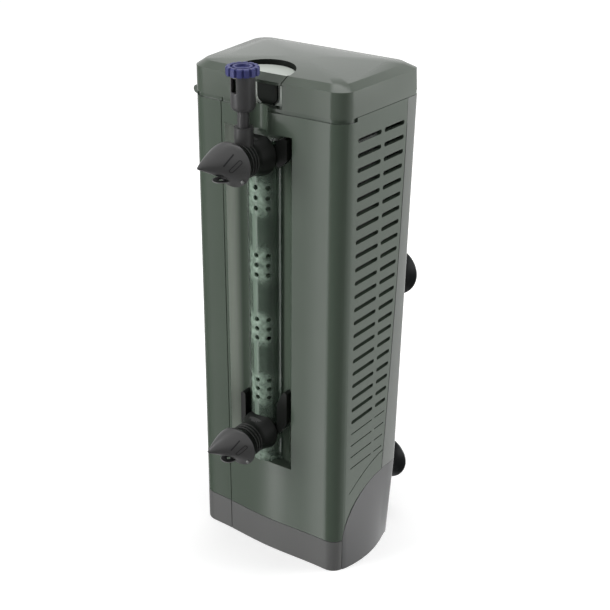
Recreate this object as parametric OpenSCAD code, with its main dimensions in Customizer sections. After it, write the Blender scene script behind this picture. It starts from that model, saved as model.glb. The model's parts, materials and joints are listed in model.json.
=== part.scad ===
// Submersible aquarium filter: a tall housing with side grilles, a flip lid, a front spray channel
// between two turning outlets, an air valve, a flow selector, a pump in the base and a rear bracket.
// Frame: origin on the floor under the housing, +Z up, the front faces -Y, +X is the viewer's right.

/* [Housing] */
// Height of the housing, floor to lid seam
housing_h = 306.5; // [290:0.5:325]
// Half the width of the front, at the floor
front_half_w = 56; // [53:0.5:60]
// Front face, forward of the origin
front_y = 37.9; // [36.5:0.1:39]
// How far the middle of the front stands forward of its corners
front_crown = 1.9; // [1:0.1:2.6]
// Rear face, behind the origin, at the floor
rear_y = 27; // [26.5:0.5:30]
// How far the rear face leans back over the housing's height
rear_lean = 9; // [6:0.5:10]
// How far each side leans in over the housing's height
side_lean = 2.4; // [0:0.2:4]
// How much wider each side is at the rear than at the front
rear_flare = 3.6; // [0:0.2:5]
// Radius of the front corners
front_r = 10; // [6:0.5:12]
// Radius of the rear corners
rear_r = 4; // [3:0.5:6]
// Thickness of the moulded walls
wall = 2.6; // [2:0.1:3]
// Width of a parting line between two shells
seam = 0.6; // [0.3:0.1:0.8]
// Parting line of the front, measured from the middle
front_seam_x = -30.6; // [-32:0.1:-30.4]

/* [Grille] */
// Number of rows of slots
slot_rows = 26; // [12:1:26]
// Number of rows at the bottom that are only engraved
blind_rows = 4; // [0:1:6]
// Height of one slot
slot_h = 2.7; // [2:0.1:4]
// Distance from row to row
slot_pitch = 8.67; // [7:0.01:8.9]
// Distance of the top row below the lid seam
slot_top = 13.4; // [10:0.1:20]
// Front end of the front slots
slot_front_y = -25; // [-26:0.5:-18]
// Rear end of the front slots
slot_mid_y = -2.4; // [-6:0.2:2]
// Web between a front slot and a rear slot
slot_web = 3; // [2:0.2:6]
// Engraving depth of lines and blind slots
engrave = 0.8; // [0.4:0.1:1.2]
// Distance from the rear slots to the shells' parting line
slot_margin = 2.8; // [2:0.1:5]

/* [Lid] */
// Height of the lid's upright side
lid_side_h = 15; // [12:0.5:18]
// Height of the bevel round the lid's top
bevel_h = 3.3; // [1.5:0.1:4]
// Width of the bevel round the lid's top
bevel_w = 4.2; // [3:0.1:6]
// Rise of the lid's crown above the bevel
crown_h = 2; // [0.4:0.1:3]
// Thickness of the lid
lid_wall = 2.4; // [2:0.1:3]
// Radius of the lid's rear corners, at its top
lid_corner = 9; // [5:0.5:12]
// Depth of the shadow groove under the lid's front edge
reveal_d = 1.3; // [0.3:0.1:1.5]
// Height of that groove
reveal_h = 2.2; // [0.8:0.1:2.5]
// Radius of the lift tab on the lid's left edge
tab_r = 2.5; // [1.5:0.1:3]
// Length of the lift tab
tab_l = 18; // [8:1:24]
// Hinge axis, forward of the rear face at the lid
hinge_in = 4.6; // [4.2:0.1:6]
// Hinge axis above the lid seam
hinge_up = 9; // [8.5:0.5:10]
// Middle of each hinge from the centre line
hinge_x = 38; // [30:0.5:40]
// Radius of the hinge pins
pin_r = 1.75; // [1.2:0.05:2]

/* [Outlet column] */
// Centre line of the trough, channel and outlets
column_x = -4.5; // [-5.4:0.1:-4]
// Half the width of the trough
trough_half_w = 24.8; // [23:0.1:25.2]
// Depth of the trough behind the front face
trough_depth = 8.4; // [7:0.1:9]
// Lower end of the trough
trough_z0 = 69.5; // [66:0.5:72]
// Upper end of the trough, below the lid seam
trough_drop = 14.5; // [12.5:0.5:17]
// Outer radius of the clear spray channel
channel_r = 10; // [8.5:0.1:10.5]
// Wall of the spray channel
channel_wall = 1.5; // [1.2:0.1:2]
// Half the width over the channel's flanges
flange_half_w = 12.2; // [11.4:0.1:13]
// Thickness of the channel's flanges
flange_t = 1.8; // [1.2:0.1:2.2]
// Height of the lower outlet's axis
outlet_low_z = 91.5; // [88:0.5:95]
// Axis of the upper outlet, below the lid seam
outlet_drop = 28.2; // [27.5:0.1:31.5]
// Outer radius of the outlet tubes
outlet_r = 10.3; // [9.5:0.1:11]
// Radius of the round foot that an outlet tube flares to
tube_foot_r = 13.2; // [11:0.1:13.4]
// Length of the flare
tube_foot_l = 10; // [6:0.5:11]
// Bore radius of the outlet tubes
outlet_bore_r = 6; // [5:0.1:6.5]
// Forward end of the outlet tubes, from the origin
outlet_y = 58; // [57:0.1:60]
// Radius of the turning ring at the hood
ring_r = 12.9; // [12.4:0.1:14]
// Length of the turning ring
ring_l = 4.4; // [4:0.1:6]
// Reach of the hood's tip in front of the ring
hood_reach = 17.8; // [15:0.2:20]
// Offset of the hood's tip to the left
hood_side = 9.5; // [4:0.5:10]
// Radius of the hood's mouth
mouth_r = 3.7; // [3.4:0.1:4.4]
// Middle of the mouth, to the left of the outlet's axis
mouth_side = 4.4; // [3:0.1:5]
// Middle of the mouth, forward of the ring
mouth_out = 5.4; // [5:0.1:8]
// Wall of the hood
hood_wall = 1.8; // [1.4:0.1:2.2]
// Radius of a spray hole
jet_r = 1.6; // [0.8:0.1:1.8]
// Distance between rows of spray holes in a group
jet_pitch = 6.4; // [5:0.1:8]
// Distance between groups of spray holes
jet_group_pitch = 42.8; // [38:0.1:44]
// Number of groups of spray holes
jet_groups = 4; // [1:1:4]
// Angle of the outer columns of spray holes to the middle one
jet_angle = 44; // [30:1:55]
// Middle row of the top group, below the upper outlet
jet_top = 26.2; // [24:0.1:32]

/* [Air valve] */
// Axis of the air valve, forward of the origin
valve_y = 51.6; // [51:0.1:52]
// Outer radius of the valve's socket
socket_r = 5.5; // [4.8:0.1:6]
// Upper end of the socket above the outlet axis
socket_up = 19.2; // [17:0.1:21]
// Outer radius of the valve's stem tube
stem_tube_r = 3.4; // [2.8:0.1:3.8]
// Outer radius of the valve body
valve_r = 6.95; // [6.5:0.05:8]
// Lower end of the valve body above the outlet axis
valve_up = 28.4; // [25:0.1:30]
// Length of the valve body
valve_l = 20; // [16:0.1:24]
// Radius of the blue knob
knob_r = 9.4; // [8:0.1:10.5]
// Height of the blue knob
knob_h = 4.6; // [3:0.1:7]
// Number of flutes on the knob
knob_flutes = 14; // [8:1:20]

/* [Flow selector] */
// Centre of the selector's cap, from the middle
selector_x = -4.6; // [-5:0.1:-4]
// Centre of the selector's cap, forward of the origin
selector_y = 32.8; // [32:0.1:33.4]
// Radius of the notch in the lid
notch_r = 18.6; // [18:0.1:19]
// Gap round the cap in the notch
notch_gap = 0.6; // [0.3:0.1:1]
// Thickness of the cap below the lid's bevel
cap_t = 1.6; // [1.2:0.1:3]
// Width of the black finger grip
grip_w = 13.8; // [11:0.2:16]
// Height of the finger grip
grip_h = 14.6; // [12:0.2:16]
// Thickness of the finger grip
grip_t = 1.4; // [1.2:0.1:3.4]
// Width of the grip's neck
neck_w = 7.8; // [5:0.2:9]
// Travel of the selector
selector_travel = 24; // [10:1:24]

/* [Base and pump] */
// Height of the dark base strip
base_h = 23.5; // [18:0.5:26]
// Height of the side covers at the rear
ear_h = 57.3; // [50:0.5:59]
// Front edge of the side covers
ear_front_y = -31.4; // [-32:0.1:-30]
// How far the side covers swell out at the floor
ear_swell = 4.2; // [0:0.1:6]
// Added radius of the side covers' rear corners at the floor
foot_corner = 6; // [0:0.5:12]
// Thickness of the base plate
plate_t = 2.8; // [2:0.1:4]
// Centre of the pump, behind the origin
pump_y = 2; // [1:0.5:3]
// Radius of the pump chamber
chamber_r = 16.5; // [15:0.5:17]
// Radius of the impeller
impeller_r = 14; // [10:0.5:14.5]
// Number of impeller blades
blades = 6; // [3:1:8]
// Radius of the rotor magnet
magnet_r = 8.8; // [7:0.1:10]
// Radius of the rotor shaft
shaft_r = 1.5; // [1:0.1:2]
// Height of the motor block's top
motor_top = 34; // [32:0.5:36]
// Height of the media bay's floor
bay_z = 60; // [59.5:0.5:64]

/* [Rear bracket] */
// Plate of the bracket, behind the origin
bracket_y = 41; // [40:0.5:44]
// Thickness of the bracket
bracket_t = 2.5; // [2:0.1:3.5]
// Distance of the cups from the centre line
cup_x = 39; // [36:0.5:41]
// Height of the lower cups
cup_low_z = 38.5; // [34:0.5:44]
// Height of the upper cups
cup_high_z = 183; // [150:0.5:190]
// Radius of a suction cup
cup_r = 16.4; // [12:0.1:17]
// Depth of a suction cup
cup_h = 6.6; // [5:0.1:9]
// Travel of the bracket on its rails
bracket_travel = 45; // [20:1:50]

/* [Media] */
// Half the width of the media frame
media_half_w = 45.5; // [42:0.5:46]
// Front of the media frame
media_front_y = -15.5; // [-16:0.5:-12]
// Rear of the media frame
media_rear_y = 22; // [20:0.5:23]
// Top of the media frame, below the lid seam
media_drop = 14.5; // [12.5:0.5:36]
// Thickness of a foam pad
foam_t = 11; // [8:0.5:12]
// Thickness of a cartridge
cartridge_t = 12; // [8:0.5:13]

/* [Clearances] */
// Gap between pieces that are fixed side by side
fit = 0.2; // [0.15:0.05:0.3]
// Radial running clearance of a shaft or a turning ring
run = 0.06; // [0.04:0.01:0.09]
// Gap between moving pieces that only pass each other
pass = 0.35; // [0.3:0.05:0.5]

/* [Hidden] */
$fn = 64;
far = 400;                                          // longer than any cut needs
eps = 0.02;
crown_y = -front_y - front_crown;                   // middle of the front face
trough_z1 = housing_h - trough_drop;
outlet_high_z = housing_h - outlet_drop;
media_top = housing_h - media_drop;
trough_y = crown_y + trough_depth;                  // floor of the trough
trough_wall = 2.2;
trough_back_y = trough_y + trough_wall;
trough_edge_x = column_x + trough_half_w;
outlet_zs = [outlet_low_z, outlet_high_z];
lid_z0 = housing_h + 0.3;
lid_z1 = lid_z0 + lid_side_h;                       // lower edge of the bevel
lid_z2 = lid_z1 + bevel_h;                          // upper edge of the bevel
hinge_y = rear_y + rear_lean - hinge_in;
hinge_z = housing_h + hinge_up;
post_w = 8;                                         // width of a hinge post
post_r = 3;
lug_t = 3.6;                                        // thickness of a hinge lug
groove_z_top = housing_h - 6;
groove_z_end = housing_h - 15;                      // above it the parting line is only a fine one
swell_y = -8;                                       // widest part of the side covers
swell_span = 24;
groove_span = 230;                                  // length over which the parting line bends
groove_shift = 11.5;                                // forward shift of the line at its lower end
groove_back = 2.4;                                  // line in front of the rear face, at the top
ear_rise = ear_h - base_h;
duct_half_w = 9.5;
duct_wall = 1.6;
duct_depth = 10.3;
duct_y0 = trough_back_y + fit;                      // front of the riser duct
duct_y1 = duct_y0 + duct_depth;                     // rear of the riser duct
duct_z0 = motor_top + 4;
duct_z1 = trough_z1 - 2;
port_zs = [for (k = [1, 2]) outlet_low_z + (outlet_high_z - outlet_low_z) * k / 3];
port_r = 4;                                         // holes from the duct to the spray channel
gate_t = 2;
gate_y = duct_y0 + duct_wall + pass;                // front of the gate
gate_half_w = duct_half_w - duct_wall - pass;
stem_r = 2;
stem_y = gate_y + stem_r;
stem_z = duct_z1 - selector_travel - 6;             // where the stem stands on the gate
rotor_gap = 0.5;
bush_r = 4;
bush_h = 4;
chamber_top = motor_top + 19;
shaft_z0 = plate_t + 6;
well_z = shaft_z0 + bush_h;                         // floor of the rotor's well
magnet_z0 = well_z + 1;
blade_z0 = motor_top + 5.5;
blade_z1 = blade_z0 + 9;
motor_half_w = 34;
motor_half_d = 20;
hub_r = 5;                                          // hub of the impeller
vent_r = 3;                                         // inlets in the chamber's roof
drain_pitch = 9;                                    // holes in the bay's floor
drain_r = 2.6;
rail_x = 26;
rail_half_w = 1.3;
rail_head_half_w = 3;
rail_head_y = 2.4;                                  // rail head's inner face, in front of the bracket
rail_z0 = 18;
rail_z1 = cup_high_z + bracket_travel + 22;
bracket_z0 = cup_low_z - 17;
bracket_z1 = cup_high_z + 21;
side_slope = rear_flare / (rear_y + 29);            // outward run of a side, per length towards the rear
stud_r = 3;
stud_head_r = 4.5;
screw_r = 1.5;
boss_r = 3.6;
boss_h = 12;
screw_head_r = 2.8;
plate_screws = [[-40, -20], [40, -20], [-40, 15], [40, 15]];
foot_r = 6;
foot_h = 1.5;
foot_xy = [[-30, -27], [30, -27], [-30, 15], [30, 15]];
gland_z = housing_h - 38.5;
gland_r = 7;
gland_bore_r = 3.5;
hood_y = -outlet_y - fit - ring_l;                  // plane where a hood meets its ring
valve_z0 = outlet_high_z + valve_up;
valve_z1 = valve_z0 + valve_l;
socket_z1 = outlet_high_z + socket_up;
knob_gap = 0.3;
disc_drop = 1.4;                                    // the cap's disc below the lid's upper edge
grip_z1 = lid_z1 - cap_t;
grip_z0 = grip_z1 - grip_h;
grip_y = -29.2 + grip_t / 2;                        // middle of the grip's thickness
tray_z = bay_z + 3.4;
media_bar = 4;

// ---- Outlines and lofts ----
function arc(c, r, a0, a1, n) = [for (i = [0:n]) let (a = a0 + (a1 - a0) * i / n) c + r * [cos(a), sin(a)]];

// Plan of the housing at height z, grown by g, with rear corners of radius rr and sides swelled by s
function plan(z, g = 0, rr, s, fr) =
    let (t = z / housing_h, hf = front_half_w - side_lean * t + g, yf = -front_y - g,
        yr = rear_y + rear_lean * t + g, f = is_undef(fr) ? max(front_r + g, 1) : fr,
        r = max((is_undef(rr) ? rear_r : rr) + g, 0.8),
        y0 = yf + f, y1 = yr - r, hr = hf + side_slope * (y1 - y0),
        c = min(front_half_w - 1.1 * side_lean - front_r, hf - f) - 0.1,
        side = is_undef(s) ? [] : [for (i = [1:9]) [hf + (hr - hf) * i / 10, y0 + (y1 - y0) * i / 10]],
        loop = concat(arc([f - hf, y0], f, 180, 270, 9),
            [for (i = [0:16]) let (u = i / 8 - 1) [c * u, yf - front_crown * (1 + cos(180 * u)) / 2]],
            arc([hf - f, y0], f, 270, 360, 9), side, arc([hr - r, y1], r, 0, 90, 6),
            arc([r - hr, y1], r, 90, 180, 6), [for (i = [len(side) - 1:-1:0]) [-side[i][0], side[i][1]]]))
    is_undef(s) ? loop : [for (p = loop) let (v = min(1, abs(p[1] - swell_y) / swell_span))
        [p[0] + s * sign(p[0]) * min(1, abs(p[0]) / hf) * (1 - v * v), p[1]]];

// Solid through plans stacked at rising heights; each level is
// [z, growth, rear radius, swell, scale, front radius]
module loft(levels) {
    rings = [for (l = levels) (is_undef(l[4]) ? 1 : l[4]) * plan(l[0], l[1], l[2], l[3], l[5])];
    n = len(rings[0]);
    m = len(rings);
    polyhedron(
        points = [for (k = [0:m - 1], p = rings[k]) [p[0], p[1], levels[k][0]]],
        faces = concat([[for (i = [0:n - 1]) i]], [[for (i = [n - 1:-1:0]) (m - 1) * n + i]],
            [for (k = [0:m - 2], i = [0:n - 1]) let (j = (i + 1) % n, a = k * n, b = a + n)
                each [[a + i, b + i, b + j], [a + i, b + j, a + j]]]));
}

// Plain wall of the housing between two heights, grown by g
module body(z0, z1, g = 0) { loft([[z0, g], [z1, g]]); }

// Prism along X from x0 to x1 of an outline drawn as [y, z]
module across(x0, x1, outline) {
    translate([x0, 0, 0]) rotate([90, 0, 90]) linear_extrude(x1 - x0) polygon(outline);
}

// Cylinder along Y from y0 to y1
module bar_y(r, y0, y1, x = 0, z = 0) {
    translate([x, y1, z]) rotate([90, 0, 0]) cylinder(r = r, h = y1 - y0);
}

module block(x0, x1, y0, y1, z0, z1) { translate([x0, y0, z0]) cube([x1 - x0, y1 - y0, z1 - z0]); }

// Line where the front shells meet the rear shell, as y at height z
function groove_y(z) =
    rear_y + rear_lean - groove_back * 5.2 - groove_shift * pow(max(0, (groove_z_top - z) / groove_span), 1.5);

// Upper edge of the side covers, as [y, z] points from front to rear
function ear_edge(g = 0) = [for (i = [0:10]) let (a = 90 * i / 10)
    [ear_front_y - g + 45 * (1 - cos(a)), base_h + (ear_rise + g) * sin(a)]];
function ear_outline(g) = concat([[ear_front_y - g, -1]], ear_edge(g), [[far, ear_h + g], [far, -1]]);

// ---- Housing ----
module slot_row(z, depth_in, h) {
    front = slot_mid_y - slot_front_y;
    rear = groove_y(z) - slot_margin - slot_mid_y - slot_web;
    for (s = [[slot_front_y, front], [slot_mid_y + slot_web, rear]])
        translate([0, s[0], z]) rotate([90, 0, 90]) linear_extrude(far)
            union() {
                translate([h / 2, -h / 2]) square([s[1] - h, h]);
                translate([h / 2, 0]) circle(h / 2, $fn = 24);
                translate([s[1] - h / 2, 0]) circle(h / 2, $fn = 24);
            }
}

function row_z(i) = housing_h - slot_top - slot_pitch * i;

// Cuts of one side grille, on the +X side
module grille_cut() {
    for (i = [0:slot_rows - blind_rows - 1])
        translate([front_half_w - side_lean - wall - 6, 0, 0]) slot_row(row_z(i), far, slot_h);
    difference() {
        for (i = [slot_rows - blind_rows:slot_rows - 1]) translate([30, 0, 0]) slot_row(row_z(i), far, 0.9);
        body(0, housing_h, -engrave);
    }
}

// Curved line under the grille, engraved on the +X side
module foot_line() {
    z0 = row_z(slot_rows - 1) - 4;
    y0 = groove_y(z0);
    difference() {
        across(20, far, concat(
            [for (i = [0:8]) [y0 - 38 * i / 8, z0 - 15 * pow(i / 8, 1.6)]],
            [for (i = [8:-1:0]) [y0 - 38 * i / 8, z0 - 0.8 - 15 * pow(i / 8, 1.6)]]));
        body(0, housing_h, -engrave);
    }
}

// Trough section, shrunk by g, between two heights
module trough(z0, z1, g = 0) {
    cove = trough_half_w - flange_half_w;
    half = [for (i = [0:10]) let (a = 9 * i)
        [trough_half_w - g - (cove) * (1 - cos(a)), crown_y - 3 + (trough_depth + 3 - g) * sin(a)]];
    translate([column_x, 0, z0]) linear_extrude(z1 - z0) polygon(concat(
        [[-trough_half_w + g, crown_y - 6], [trough_half_w - g, crown_y - 6]], half,
        [for (i = [10:-1:0]) [-half[i][0], half[i][1]]]));
}

// Shell of the two front halves before they are parted
module front_shell() {
    scoop_r = 9;
    scoop_deep = 5;
    difference() {
        body(base_h + fit, housing_h);
        difference() {
            body(base_h, housing_h + 1, -wall);
            block(column_x - trough_half_w - wall, trough_edge_x + wall, -far, trough_back_y,
                trough_z0 - wall, trough_z1 + wall);
            block(selector_x - 15, selector_x + 15, -far, crown_y + scoop_deep + 1.7, trough_z1, far);
        }
        trough(trough_z0, trough_z1);
        translate([column_x, crown_y + scoop_deep - scoop_r, trough_z1 - 1]) cylinder(r = scoop_r, h = far);
        for (z = outlet_zs) bar_y(outlet_bore_r + 0.4, trough_y - 1, 0, column_x, z);
        for (z = port_zs) bar_y(port_r, trough_y - 1, 0, column_x, z);
        for (m = [0, 1]) mirror([m, 0, 0]) {
            grille_cut();
            foot_line();
            across(0, far, ear_outline(fit));
        }
        intersection() {
            difference() {
                body(housing_h - reveal_h, housing_h + 1, 1);
                body(housing_h - reveal_h - 1, housing_h + 2, -reveal_d);
            }
            block(-far, far, -far, -front_y + 12, 0, far);
        }
    }
}

// Space in front of the parting line to the rear shell; side is 1 or -1, for either side of the line
module front_zone(side) {
    low = [for (i = [0:12]) let (z = base_h - 2 + (groove_z_end + 2 - base_h) * i / 12)
        [groove_y(z) + side * seam / 2, z]];
    high = [for (z = [groove_z_end, housing_h + 4]) [groove_y(z) + side * fit / 2, z]];
    across(-far, far, concat([[-far, low[0][1]]], low, high, [[-far, housing_h + 4]]));
}

module housing_right() {
    color("#7b827a") intersection() {
        front_shell();
        front_zone(-1);
        block(front_seam_x + seam / 2, far, -far, far, 0, far);
    }
}

module housing_left() {
    color("#6c766c") intersection() {
        front_shell();
        front_zone(-1);
        block(-far, front_seam_x - seam / 2, -far, far, 0, far);
    }
}

module housing_back() {
    color("#969b96") {
        difference() {
            union() {
                difference() {
                    body(0, housing_h);
                    body(-1, housing_h + 1, -wall);
                }
                intersection() {
                    for (s = [-1, 1]) {
                        block(s * rail_x - rail_half_w, s * rail_x + rail_half_w, rear_y - 1,
                            bracket_y - rail_head_y + eps, rail_z0, rail_z1);
                        block(s * rail_x - rail_head_half_w, s * rail_x + rail_head_half_w,
                            bracket_y - rail_head_y, bracket_y - pass, rail_z0, rail_z1);
                        block(s * rail_x - rail_head_half_w - 2, s * rail_x + rail_head_half_w + 2, rear_y - 1,
                            bracket_y - pass, cup_low_z - 12, cup_low_z - 8 - pass);
                    }
                    difference() {
                        block(-far, far, 0, far, 0, far);
                        body(-1, housing_h + 1, -wall);
                    }
                }
            }
            front_zone(1);
            block(-far, far, -far, 0, -1, base_h + 1);
            across(-far, far, [[-far, 0], [-far, ear_h], [ear_front_y + 45, ear_h], [ear_front_y + 45, 0]]);
            for (m = [0, 1]) mirror([m, 0, 0]) intersection() {
                across(12, far, ear_outline(fit));
                difference() {
                    body(-2, housing_h, 5);
                    block(-far, front_half_w - 9, -far, far, -3, far);
                }
            }
            bar_y(gland_r - 1.8, 0, far, 0, gland_z);
        }
        for (s = [-1, 1]) difference() {
            union() {
                translate([s * hinge_x - post_w / 2, hinge_y, hinge_z]) rotate([0, 90, 0])
                    cylinder(r = post_r, h = post_w);
                block(s * hinge_x - post_w / 2, s * hinge_x + post_w / 2, hinge_y - post_r, hinge_y + 1.9,
                    housing_h - 16, hinge_z);
            }
            translate([s * hinge_x - post_w, hinge_y, hinge_z]) rotate([0, 90, 0])
                cylinder(r = pin_r + run, h = 2 * post_w);
            difference() {
                block(-far, far, 0, far, 0, housing_h);
                body(-1, housing_h + 1, -wall + eps);
            }
        }
    }
}

// ---- Base ----
module base_ring() {
    difference() {
        body(0, base_h - fit);
        body(-1, base_h, -wall);
        block(-far, far, ear_front_y - fit, far, -1, far);
    }
}

module base_front() {
    color("#57575a") intersection() {
        base_ring();
        block(front_seam_x + seam / 2, far, -far, far, -1, far);
    }
}

module base_front_left() {
    color("#57575a") intersection() {
        base_ring();
        block(-far, front_seam_x - seam / 2, -far, far, -1, far);
    }
}

// Level of the side covers' form at height z, grown by g
function foot_level(z, g) = let (t = min(1, max(0, z) / ear_h))
    [z, g, rear_r + foot_corner * (1 - t), ear_swell * pow(1 - t, 1.3)];

// Side cover, on the +X side: a panel that swells towards the floor
module pump_cover() {
    difference() {
        intersection() {
            loft([for (i = [0:6]) foot_level(ear_h * i / 6, 0)]);
            across(front_half_w - 8.8, far, ear_outline(0));
        }
        loft([for (i = [-1:7]) foot_level(ear_h * i / 6, -wall)]);
    }
}

module pump_cover_right() { color("#6e6e70") pump_cover(); }
module pump_cover_left() { color("#6e6e70") mirror([1, 0, 0]) pump_cover(); }

module base_plate() {
    color("#3c3c3e") difference() {
        union() {
            intersection() {
                body(0, plate_t, -wall - fit);
                block(-far, far, -far, 0, -1, far);
            }
            intersection() {
                loft([foot_level(0, -wall - fit), foot_level(plate_t, -wall - fit)]);
                block(-far, far, ear_front_y + fit, far, -1, far);
            }
            for (p = plate_screws) translate([p[0], p[1], 0]) cylinder(r = boss_r, h = boss_h);
        }
        for (p = plate_screws) translate([p[0], p[1], -1]) {
            cylinder(r = screw_r + fit, h = 20);
            cylinder(r = screw_head_r + fit, h = 2.4);
        }
        for (p = foot_xy) translate([p[0], p[1], -1]) cylinder(r = foot_r + 0.1, h = 1 + foot_h + 0.05);
    }
}

module base_feet() {
    color("#1c1c1c") for (p = foot_xy) translate([p[0], p[1], 0]) cylinder(r = foot_r, h = foot_h);
}

module base_screws() {
    color("silver") for (p = plate_screws) translate([p[0], p[1], 0.2]) difference() {
        union() {
            cylinder(r = screw_head_r, h = 1.1);
            cylinder(r = screw_r, h = 16);
        }
        translate([-2, -0.4, -1]) cube([4, 0.8, 1.6]);
    }
}

module bay_floor() {
    color("#4a4f4a") difference() {
        body(bay_z - 2.4, bay_z, -wall - fit);
        block(column_x - duct_half_w - fit, column_x + duct_half_w + fit, -far, duct_y1 + fit, 0, far);
        block(-far, far, -far, -front_y + 6, 0, far);
        for (i = [-4:4], j = [-1:2]) translate([i * drain_pitch, j * drain_pitch, 0])
            cylinder(r = drain_r, h = far, $fn = 24);
    }
}

// ---- Pump ----
module motor_block() {
    color("#2e3032") difference() {
        union() {
            block(-motor_half_w, motor_half_w, pump_y - motor_half_d, pump_y + motor_half_d,
                plate_t, motor_top);
            for (p = plate_screws) block(min(p[0] - 4, sign(p[0]) * motor_half_w), max(p[0] + 4,
                sign(p[0]) * motor_half_w), p[1] - 4, p[1] + 4, boss_h + 0.1, boss_h + 8);
        }
        for (p = plate_screws) translate([p[0], p[1], 0]) cylinder(r = screw_r + eps, h = boss_h + 6);
        translate([0, pump_y, well_z]) cylinder(r = magnet_r + rotor_gap, h = far);
        translate([0, pump_y, shaft_z0]) cylinder(r = bush_r + eps, h = far);
    }
}

module bush(z) {
    translate([0, pump_y, z]) difference() {
        cylinder(r = bush_r, h = bush_h);
        translate([0, 0, -1]) cylinder(r = shaft_r + run, h = bush_h + 2);
    }
}

module shaft_bush_lower() { color("#3a2a24") bush(shaft_z0); }
module shaft_bush_upper() { color("#3a2a24") bush(chamber_top - bush_h); }

module impeller_shaft() {
    color("ivory") translate([0, pump_y, shaft_z0]) cylinder(r = shaft_r, h = chamber_top - shaft_z0);
}

module rotor_magnet() {
    color("#3b3b3f") translate([0, pump_y, magnet_z0]) difference() {
        cylinder(r = magnet_r, h = motor_top - magnet_z0 + 2);
        translate([0, 0, -1]) cylinder(r = shaft_r + run, h = far);
    }
}

module impeller() {
    color("#d8d8d2") translate([0, pump_y, 0]) difference() {
        union() {
            translate([0, 0, motor_top + 2]) cylinder(r = hub_r, h = blade_z1 - motor_top - 2);
            translate([0, 0, blade_z0 - 1.5]) cylinder(r = impeller_r, h = 1.5);
            for (i = [0:blades - 1]) rotate(i * 360 / blades)
                translate([hub_r - 2, -0.7, blade_z0 - eps])
                    cube([impeller_r - hub_r + 1.4, 1.4, blade_z1 - blade_z0]);
        }
        cylinder(r = shaft_r + run, h = far);
    }
}

module pump_chamber() {
    roof = 2;
    spout_z1 = chamber_top - roof - 1;
    color("#3f4347") difference() {
        union() {
            translate([0, pump_y, motor_top]) cylinder(r = chamber_r + 2.4, h = chamber_top - motor_top);
            block(column_x - 7.5, column_x + 7.5, duct_y1, pump_y - 10, duct_z0 - 1.5, spout_z1 + 1.5);
        }
        translate([0, pump_y, motor_top + 2]) cylinder(r = chamber_r, h = chamber_top - motor_top - roof - 4);
        translate([0, pump_y, motor_top - 1]) cylinder(r = magnet_r + rotor_gap, h = 4);
        for (a = [45:90:315]) translate([0, pump_y, chamber_top - roof - 3])
            rotate(a) translate([chamber_r / 2, 0, 0]) cylinder(r = vent_r, h = far);
        translate([0, pump_y, chamber_top - bush_h]) cylinder(r = bush_r + eps, h = far);
        block(column_x - 6, column_x + 6, duct_y1 - 1, pump_y - 6, duct_z0, spout_z1);
    }
}

module riser_duct() {
    color("#474c48") difference() {
        block(column_x - duct_half_w, column_x + duct_half_w, duct_y0, duct_y1, duct_z0 - 1.6, duct_z1);
        block(column_x - duct_half_w + duct_wall, column_x + duct_half_w - duct_wall,
            duct_y0 + duct_wall, duct_y1 - duct_wall, duct_z0, duct_z1 - 1.6);
        for (z = outlet_zs) bar_y(outlet_bore_r + 0.4, -far, duct_y0 + 3, column_x, z);
        for (z = port_zs) bar_y(port_r, -far, duct_y0 + 3, column_x, z);
        block(column_x - 6, column_x + 6, duct_y1 - 3, far, duct_z0, chamber_top - 3);
        translate([selector_x, stem_y, duct_z1 - 4]) cylinder(r = stem_r + pass - eps, h = 10);
    }
}

// ---- Spray channel and outlets ----
module spray_channel() {
    top_row = outlet_high_z - jet_top;
    length = outlet_high_z + outlet_r - 2 - trough_z0 - fit;    // the upper end hides behind the tube
    color("#5d7263", 0.6) difference() {
        intersection() {
            translate([column_x, trough_y, trough_z0 + fit]) union() {
                cylinder(r = channel_r, h = length);
                translate([-flange_half_w, -flange_t, 0])
                    cube([2 * flange_half_w, flange_t, length]);
            }
            block(-far, far, -far, trough_y - 0.05, 0, far);
        }
        translate([column_x, trough_y, trough_z0 + 3])
            cylinder(r = channel_r - channel_wall, h = length - 6);
        for (z = outlet_zs) bar_y(outlet_bore_r + 1.6, -far, 0, column_x, z);
        for (g = [0:jet_groups - 1], k = [-1:1], a = [-jet_angle, 0, jet_angle])
            translate([column_x, trough_y, top_row - g * jet_group_pitch + k * jet_pitch])
                rotate([90, 0, a]) cylinder(r = jet_r, h = far, $fn = 20);
    }
}

// Tube of an outlet, seated on the channel, with a spigot through the channel's wall
module outlet_tube(z, spigot_r) {
    rib_y = [-outlet_y + 1.3, -outlet_y + 3.7, -outlet_y + 6.1];
    difference() {
        union() {
            difference() {
                union() {
                    bar_y(outlet_r, -outlet_y, trough_y - flange_t - 0.3, column_x, z);
                    for (y = rib_y) bar_y(outlet_r + 0.45, y - 0.35, y + 0.35, column_x, z);
                    translate([column_x, crown_y + 0.6, z]) rotate([90, 0, 0])
                        cylinder(r1 = tube_foot_r, r2 = outlet_r, h = tube_foot_l);
                }
                translate([column_x, trough_y, z - far / 2]) cylinder(r = channel_r + 0.12, h = far);
            }
            bar_y(outlet_bore_r + 1.45, -outlet_y + 2, trough_y - channel_r + channel_wall + 1, column_x, z);
            bar_y(spigot_r, -outlet_y - ring_l + 0.4, -outlet_y + 1, column_x, z);
        }
        bar_y(outlet_bore_r, -far, far, column_x, z);
        translate([column_x, -outlet_y - 1.9, z]) rotate([90, 0, 0]) rotate_extrude()
            translate([spigot_r - 1.5, -0.8]) square([5, 1.6]);
    }
}

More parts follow.
